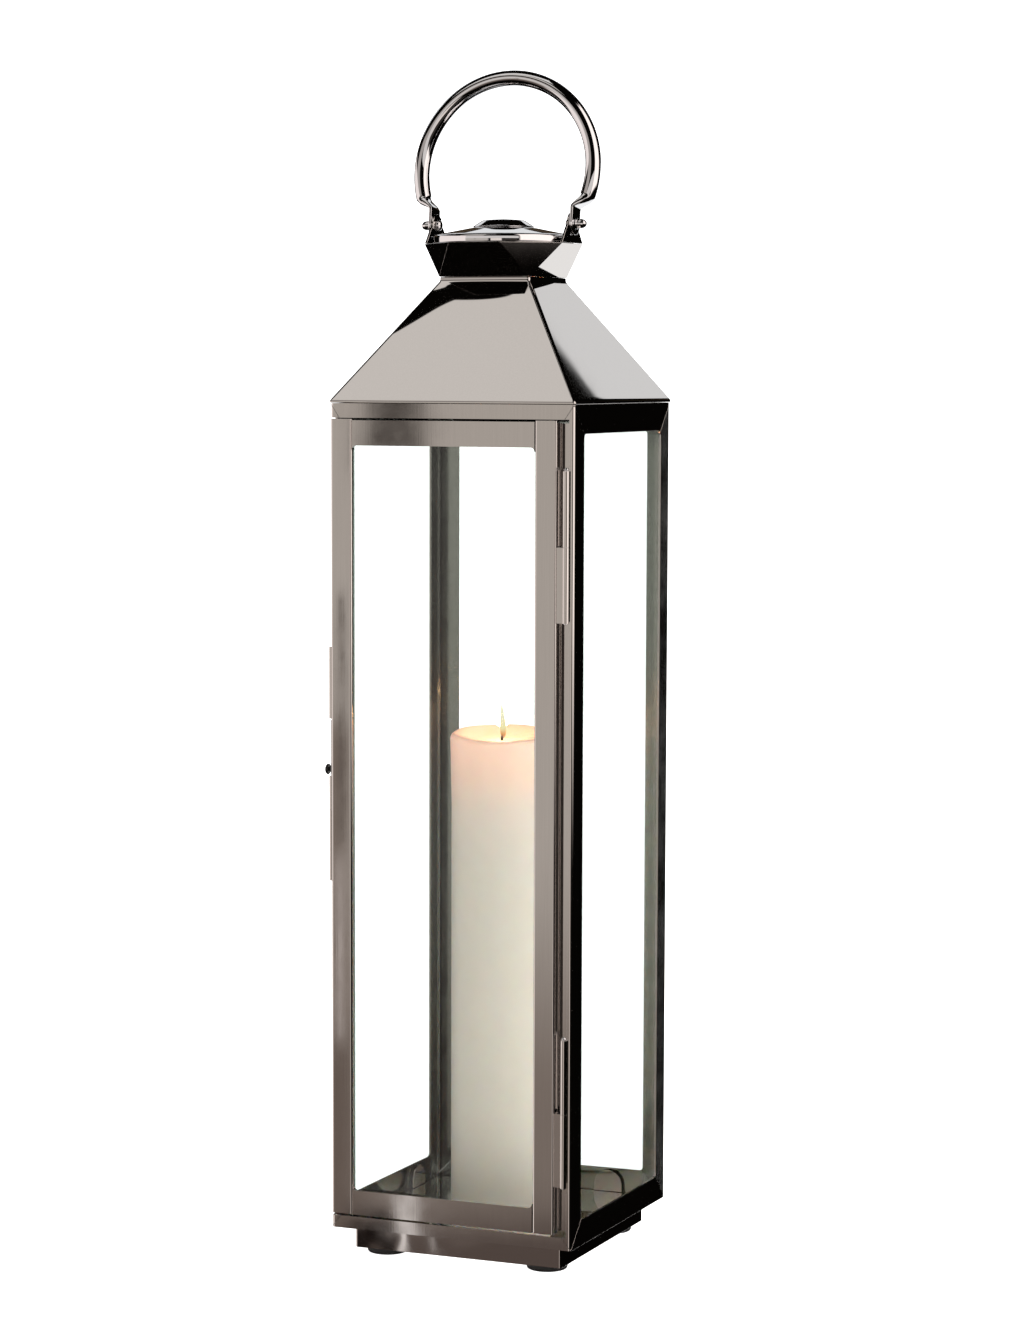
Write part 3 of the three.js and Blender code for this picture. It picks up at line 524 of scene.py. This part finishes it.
def candle_surface():
    """An outline of (radius, height) carried round the axis. The rim stands higher at the
    back and flares outwards a little. Its height, its flare and the width of the melted
    hollow change slowly with the angle, as sums of sines."""
    foot = low("candle")[2]
    hole_r, hole_foot = 1.5, RIM_Z - 17.7       # the wick's hole
    columns = 160
    outline = rounded_outline([
        (0, foot), (CANDLE_R - 1.2, foot), (CANDLE_R, foot + 1.4), (CANDLE_R, RIM_Z - 60),
        (CANDLE_R, RIM_Z - 3.0), (CANDLE_R - 2.0, RIM_Z), (CANDLE_R - 6, RIM_Z - 0.2),
        (CANDLE_R - 13, RIM_Z - 2.6), (CANDLE_R - 24, RIM_Z - 4.6), (3.5, RIM_Z - 5),
        (hole_r, RIM_Z - 5.4), (hole_r, hole_foot), (0, hole_foot)], 2.5, 7)
    points = turned(outline, columns)
    angle = np.linspace(0, TAU, columns, endpoint=False)
    radius, height = outline[:, :1], outline[:, 1:]

    at_rim = np.clip((radius - (CANDLE_R - 16)) / 12, 0, 1)
    near_top = np.clip((height - (RIM_Z - 9)) / 9, 0, 1)
    rise = 1.6 + 3.6 * np.sin(angle - 0.35)
    rise = rise + 0.5 * np.sin(2 * angle + 0.6) + 0.25 * np.sin(5 * angle)
    points[..., 2] += near_top * at_rim * rise

    lip = np.clip((height - (RIM_Z - 14)) / 10, 0, 1) * at_rim
    flare = 1 + 0.022 * lip * (1 + 0.5 * np.sin(3 * angle + 2) + 0.3 * np.sin(11 * angle))
    hollow = np.clip((CANDLE_R - 2 - radius) / 6, 0, 1) * np.clip((radius - 6) / 6, 0, 1)
    breathe = 1 + 0.03 * hollow * np.sin(3 * angle + 1)
    points[..., :2] *= (flare * breathe)[..., None]
    return points


def make_candle():
    wax = candle_wax("ivory_paraffin_wax", RIM_Z * MM)
    mesh = grid_mesh("pillar_candle", candle_surface() * MM)
    finish_piece(mesh, "pillar_candle", wax, "candle", "wax", "candle")


def wick_surface():
    """A braided cord: circles whose radius swells twice per turn of its lay, along a middle
    line that leans over towards the tip."""
    t = np.linspace(0, 1, 60)[:, None]
    angle = np.linspace(0, TAU, 24, endpoint=False)
    cord_r, swell, twist = 1.05, 0.12, 30
    foot, tip = low("wick")[2], high("wick")[2] + 5
    radius = cord_r * (1 + swell * np.cos(2 * angle + twist * t)) * np.sqrt(np.clip(1 - t ** 10, 0, 1))
    radius = radius * np.where(t == 0, 0.0, 1.0)
    tip_lean, lean_from = 2.2, 0.6
    lean = tip_lean * (np.clip(t - lean_from, 0, 1) / (1 - lean_from)) ** 2
    return np.stack([
        lean + radius * np.cos(angle), radius * np.sin(angle),
        foot + (tip - foot) * t + 0 * angle], axis=-1)


def make_wick():
    mesh = grid_mesh("cotton_wick", wick_surface() * MM)
    finish_piece(mesh, "cotton_wick", COTTON, "candle", "cotton", "wick")


FLAME_LOW = RIM_Z - 4
FLAME_HIGH = RIM_Z + 27
FLAME_SIZE = 8.2        # three times its greatest half width


def flame_surface():
    """A teardrop: its radius rises quickly from a round foot, is widest a third of the way
    up and then narrows in a long curve to the tip, which drifts a little to one side."""
    t = np.linspace(0, 1, 48)[:, None]
    angle = np.linspace(0, TAU, 32, endpoint=False)
    radius = FLAME_SIZE * t ** 0.55 * (1 - t) ** 1.25
    drift = 1.2 - 1.8 * t ** 2
    return np.stack([
        drift + radius * np.cos(angle), 0.8 * radius * np.sin(angle),
        FLAME_LOW + (FLAME_HIGH - FLAME_LOW) * t + 0 * angle], axis=-1)


def make_flame():
    fire = candle_flame("candle_flame", FLAME_LOW * MM, FLAME_HIGH * MM)
    mesh = grid_mesh("flame", flame_surface() * MM)
    flame = finish_piece(mesh, "flame", fire, "candle", "wax")
    flame.visible_shadow = False


# ---- the roof: folded sheet that springs a little between its folds ----
EAVE_Z = low("roof")[2]
NECK_TOP = high("roof")[2]
NECK_HALF = 41.2
NECK_RISE = 3                   # the square neck's height above the slope
SHEET = 1.7                     # from the outside of the neck to its inside
ROOF_HALF = high("roof")[0]
BOWS = (0.0, 0.8, 0.8, 1.0)     # how far the right, back, left and front panels stand out
FOLD_R = 2.8


def roof_profile():
    """Half width, height and place on the slope (0 eave, 1 neck) down the outside and the
    inside of the sheet, with rounded folds."""
    top = NECK_TOP - NECK_RISE
    low_fold = rounded_outline([
        (ROOF_HALF - 0.05, EAVE_Z), (ROOF_HALF, EAVE_Z + 0.5), (ROOF_HALF, EAVE_Z + 2),
        (NECK_HALF, top)], 2.5, 8)[:-1]
    high_fold = rounded_outline([
        (ROOF_HALF, EAVE_Z + 2), (NECK_HALF, top), (NECK_HALF, NECK_TOP)], 2.0, 8)[1:]
    t = np.linspace(0, 1, 46)[1:-1, None]
    outer = np.concatenate([low_fold, (1 - t) * low_fold[-1] + t * high_fold[0], high_fold])
    t = np.linspace(0, 1, 46)[:, None]
    inner_neck, inner_eave = NECK_HALF - SHEET, ROOF_HALF - 2.6
    inner_line = (1 - t) * [inner_neck, top - 0.7] + t * [inner_eave, EAVE_Z + 1.0]
    inner = np.concatenate([[(inner_neck, NECK_TOP)], inner_line, [(inner_eave, EAVE_Z)]])
    profile = np.concatenate([outer, inner, outer[:1]])
    place = np.clip((profile[:, 1] - EAVE_Z - 2) / (top - EAVE_Z - 2), 0, 1)
    return np.column_stack([profile, place])


def roof_surface():
    """Each row is a square with rounded corners. Between the corners the panel stands out
    by a parabola, which is highest seven tenths of the way up the slope."""
    half, height, place = (column[:, None] for column in roof_profile().T)
    u = np.sin(np.linspace(-math.pi / 2, math.pi / 2, 40))
    turn = np.linspace(-math.pi / 4, math.pi / 4, 12)[1:-1]
    rows = []
    corner = half - FOLD_R
    for side in range(4):
        out = half + BOWS[side] * (1 - u ** 2) * np.sin(math.pi * place ** 2)
        along = corner * u
        bend = turn + math.pi / 4
        out = np.concatenate([out, corner + FOLD_R * np.cos(bend)], axis=1)
        along = np.concatenate([along, corner + FOLD_R * np.sin(bend)], axis=1)
        cos, sin = math.cos(side * math.pi / 2), math.sin(side * math.pi / 2)
        rows.append(np.stack([
            out * cos - along * sin, out * sin + along * cos, height + 0 * out], axis=-1))
    return np.concatenate(rows, axis=1)


def make_roof():
    mesh = grid_mesh("sheet_roof", roof_surface() * MM)
    roof = finish_piece(mesh, "sheet_roof", ROOF_STEEL, "lantern", "polished_steel", "roof")
    roof.modifiers.new("flat_faces", "WEIGHTED_NORMAL")


# ---- sheet, posts, rails, door and hardware that keep their CAD shape ----
EASED = {       # node: (rounding in mm, steps across each edge)
    "floor_plate": (0.3, 2),
    "post_front_left": (0.5, 3), "post_front_right": (0.5, 3),
    "front_top_band": (0.4, 2), "front_bottom_band": (0.4, 2),
    "collar": (0.7, 3), "handle_lug_left": (0.5, 3), "handle_lug_right": (0.5, 3),
    "door_stile_latch": (0.3, 2), "door_stile_hinge": (0.3, 2),
    "door_rail_bottom": (0.9, 3), "door_rail_top": (0.9, 3),
    "door_glass": (0.3, 1),
    "glass_left": (0.3, 1), "glass_right": (0.3, 1), "glass_back": (0.3, 1),
    "door_glass_bead": (0.4, 2),
    "latch_guide": (0.25, 2), "latch_barrel": (0.25, 2), "latch_keeper": (0.25, 2),
    "latch_bolt": (0.4, 2),
}


def make_eased():
    for node, (ease, steps) in EASED.items():
        eased_copy(node, ease, steps)
    eased_copy("plinth", 0.8, 3, material=TRAY_STEEL)
    for side in ("left", "right"):
        eased_copy(f"post_back_{side}", 0.5, 3, material=POST_STEEL)
    for side in ("left", "right", "back"):
        eased_copy(f"{side}_top_rail", 0.4)
        eased_copy(f"{side}_bottom_rail", 0.4)
    for node in frame["nodes"]:
        if node.startswith("glass_clip"):
            eased_copy(node, 0.4, 3)
        elif node.startswith("hinge"):
            eased_copy(node, 0.25, 2)


# ---- studio: floor, surroundings, lights and camera ----
def make_floor():
    """A square of 16 m under the lantern, left out of reflections and of what glass shows."""
    size = 8.0
    mesh = bpy.data.meshes.new("floor")
    corners = [(-size, -size, 0), (size, -size, 0), (size, size, 0), (-size, size, 0)]
    mesh.from_pydata(corners, [], [(0, 1, 2, 3)])
    mesh.materials.append(pale_floor("white_studio_floor"))
    floor = bpy.data.objects.new("floor", mesh)
    bpy.context.scene.collection.objects.link(floor)
    floor.visible_glossy = False
    floor.visible_transmission = False


def step(tree, value, start, end):
    """0 below start, 1 above end, and a smooth S between."""
    return add_node(tree, "ShaderNodeMapRange", {"interpolation_type": "SMOOTHSTEP"}, {
        "Value": value, "From Min": start, "From Max": end}).outputs["Result"]


def math_node(tree, operation, *values):
    """The result of one operation on numbers or sockets."""
    inputs = dict(enumerate(values))
    return add_node(tree, "ShaderNodeMath", {"operation": operation}, inputs).outputs[0]


# Each card is (from azimuth, to azimuth, from elevation, to elevation, soft edge, colour),
# in degrees, with azimuths counted from straight behind the lantern, positive to its right.
# Two more numbers slant a card: degrees of azimuth per degree of elevation, and the other
# way round, both about its middle.
CARDS = {
    "white_sweep": (-40, 12.5, -45, 4.5, 1.0, linear("#ffffff")),
    "dark_wall": (-60, 14, 6.0, 16.5, 1.0, linear("#40362a")),
    "upper_wall": (-75, 4.69, 17.5, 34, 0.06, linear("#e4e5e6"), 0.65, 0),
    "right_softbox": (66, 130, -5.6, 62, 2.4, linear("#fff3ec", 1.25)),
    "camera_side": (134, 168, -40, 1, 3.0, linear("#37322f")),
    "front_room": (-176, -120, -24, 3, 2.0, linear("#857a73")),
    "front_room_top": (-178, -122, -9.5, 3.5, 2.2, linear("#bab3ac")),
    "front_low": (-176, -120, -26, -13.3, 0.5, linear("#5e534e")),
    "front_wall_right": (132, 181, 0.7, 14, 0.6, linear("#d6d0cc")),
    "front_wall_left": (-181, -121, 0.7, 14, 0.6, linear("#d6d0cc")),
    "front_wall_high": (-170, -125, 13, 23, 1.0, linear("#a8a09b")),
    "front_beam_light": (-170, -125, 36, 50, 1.0, linear("#c2bcb6")),
    "left_shade": (-154.62, -153.5, -10.4, -5.6, 0.3, linear("#83776f")),
    "left_shade_low": (-154.62, -153.5, -15.0, -10.4, 0.3, linear("#70645d")),
    "dark_stand": (-155.62, -154.7, -1.7, 0.6, 0.14, linear("#514b47")),
    "dark_cable": (-154.42, -154.22, -7.6, -3.6, 0.06, linear("#5c534e")),
    "light_cable": (-154.34, -154.18, -10.6, -7.7, 0.05, linear("#cfc6c2")),
    "floor_lamp": (-155.47, -155.22, -14.4, -12.7, 0.06, linear("#f6f1ee")),
    "floor_bag": (-155.08, -154.4, -14.0, -13.25, 0.10, linear("#1a1412")),
    "left_strip": (-138, -72, -16, 14, 1.5, linear("#f8ece7")),
    "right_front_strip": (160, 178, -19, 0.5, 1.0, linear("#e9ddd5")),
    "key_softbox": (-178, -121.5, 50, 74.5, 0.12, linear("#dedad6"), 0, 0.5),
}


def card_mask(tree, azimuth, elevation, card):
    """1 inside the card, 0 outside, soft along its edges."""
    az0, az1, el0, el1, soft, _colour, *slants = card
    if slants:
        az_slant, el_slant = slants
        shift_az = math_node(tree, "MULTIPLY_ADD", elevation, az_slant, -az_slant * (el0 + el1) / 2)
        shift_el = math_node(tree, "MULTIPLY_ADD", azimuth, el_slant, -el_slant * (az0 + az1) / 2)
        azimuth = math_node(tree, "ADD", azimuth, shift_az)
        elevation = math_node(tree, "ADD", elevation, shift_el)
    sides = []
    for value, start, end in ((azimuth, az0, az1), (elevation, el0, el1)):
        sides.append(math_node(
            tree, "SUBTRACT", step(tree, value, start - soft, start + soft),
            step(tree, value, end - soft, end + soft)))
    return math_node(tree, "MULTIPLY", *sides)


def make_surroundings():
    """What the mirror-like steel sees: a white sweep behind, tall soft boxes left, right and
    above, a dim grey room in front, and near black between them. The camera sees plain
    white, and the wax and floor are lit softly, more from the right."""
    world = bpy.data.worlds.new("studio")
    bpy.context.scene.world = world
    world.use_nodes = True
    world.cycles.sampling_method = "NONE"
    tree = world.node_tree
    tree.nodes.clear()
    output = add_node(tree, "ShaderNodeOutputWorld")
    direction = add_node(tree, "ShaderNodeTexCoord").outputs["Generated"]
    parts = add_node(tree, "ShaderNodeSeparateXYZ", None, {"Vector": direction})
    turn = math_node(tree, "ARCTAN2", parts.outputs["X"], parts.outputs["Y"])
    azimuth = math_node(tree, "MULTIPLY", turn, 180 / math.pi)
    rise = math_node(tree, "ARCSINE", parts.outputs["Z"])
    elevation = math_node(tree, "MULTIPLY", rise, 180 / math.pi)
    seen = linear("#060504")
    for card in CARDS.values():
        inside = card_mask(tree, azimuth, elevation, card)
        seen = add_node(tree, "ShaderNodeMix", {"data_type": "RGBA"}, {
            "Factor": inside, "A": seen, "B": card[5]}).outputs["Result"]
    from_right = add_node(tree, "ShaderNodeMapRange", None, {
        "Value": parts.outputs["X"], "From Min": -1.0, "From Max": 1.0, "To Min": 0.5, "To Max": 3.2})
    path = add_node(tree, "ShaderNodeLightPath")
    reflected = math_node(tree, "GREATER_THAN", path.outputs["Glossy Depth"], 0.5)
    scattered = math_node(tree, "GREATER_THAN", path.outputs["Diffuse Depth"], 0.5)
    plain = add_node(tree, "ShaderNodeBackground", None, {
        "Color": linear("#ffffff"), "Strength": 2.2})
    mirror = add_node(tree, "ShaderNodeBackground", None, {"Color": seen, "Strength": 1.0})
    soft = add_node(tree, "ShaderNodeBackground", None, {
        "Color": linear("#fffdfa"), "Strength": from_right.outputs["Result"]})
    first = add_node(tree, "ShaderNodeMixShader", None, {"Fac": reflected})
    tree.links.new(plain.outputs["Background"], first.inputs[1])
    tree.links.new(mirror.outputs["Background"], first.inputs[2])
    second = add_node(tree, "ShaderNodeMixShader", None, {"Fac": scattered})
    tree.links.new(first.outputs["Shader"], second.inputs[1])
    tree.links.new(soft.outputs["Background"], second.inputs[2])
    tree.links.new(second.outputs["Shader"], output.inputs["Surface"])


def make_flame_light():
    """A small warm lamp inside the flame, of 0.08 W, for its glow on the wick and the rim."""
    light = bpy.data.lights.new("flame_light", "POINT")
    light.energy = 0.08
    light.color = linear("#ffc08a")[:3]
    light.shadow_soft_size = 6 * MM
    lamp = bpy.data.objects.new("flame_light", light)
    bpy.context.scene.collection.objects.link(lamp)
    lamp.location = (0, 0, (RIM_Z + 12) * MM)


def make_camera():
    """3.1 m away, level with the roof, 23 degrees to the right of the door, looking a little
    down. Its place is counted in widths of the body, from the foot of the front band."""
    body_width = 0.22
    base = low("front_bottom_band")[2] * MM
    turn, pitch, roll = math.radians(23.149), math.radians(5.762), 0.0026
    reach, height = 14.2027 * body_width, 3.3395 * body_width + base
    place = np.array([reach * math.sin(turn), -reach * math.cos(turn), height])
    ahead = np.array([-math.sin(turn), math.cos(turn), 0])
    across = np.array([math.cos(turn), math.sin(turn), 0])
    up = np.array([0, 0, 1.0])
    look = ahead * math.cos(pitch) - up * math.sin(pitch)
    top = up * math.cos(pitch) + ahead * math.sin(pitch)
    right = across * math.cos(roll) + top * math.sin(roll)
    top = top * math.cos(roll) - across * math.sin(roll)
    data = bpy.data.cameras.new("camera")
    data.lens = 98.16
    data.sensor_width = 36
    data.shift_x = 0.002
    data.shift_y = 0.0444
    camera = bpy.data.objects.new("camera", data)
    bpy.context.scene.collection.objects.link(camera)
    matrix = Matrix.Identity(4)
    for column, axis in enumerate((right, top, -look, place)):
        for row in range(3):
            matrix[row][column] = axis[row]
    camera.matrix_world = matrix
    bpy.context.scene.camera = camera


make_camera()
make_floor()
make_surroundings()
make_flame_light()
make_eased()
make_roof()
make_handle()
make_lid()
make_lid_button()
make_feet()
make_fasteners()
make_knob()
make_candle()
make_wick()
make_flame()
bpy.context.scene.view_settings.view_transform = "Standard"
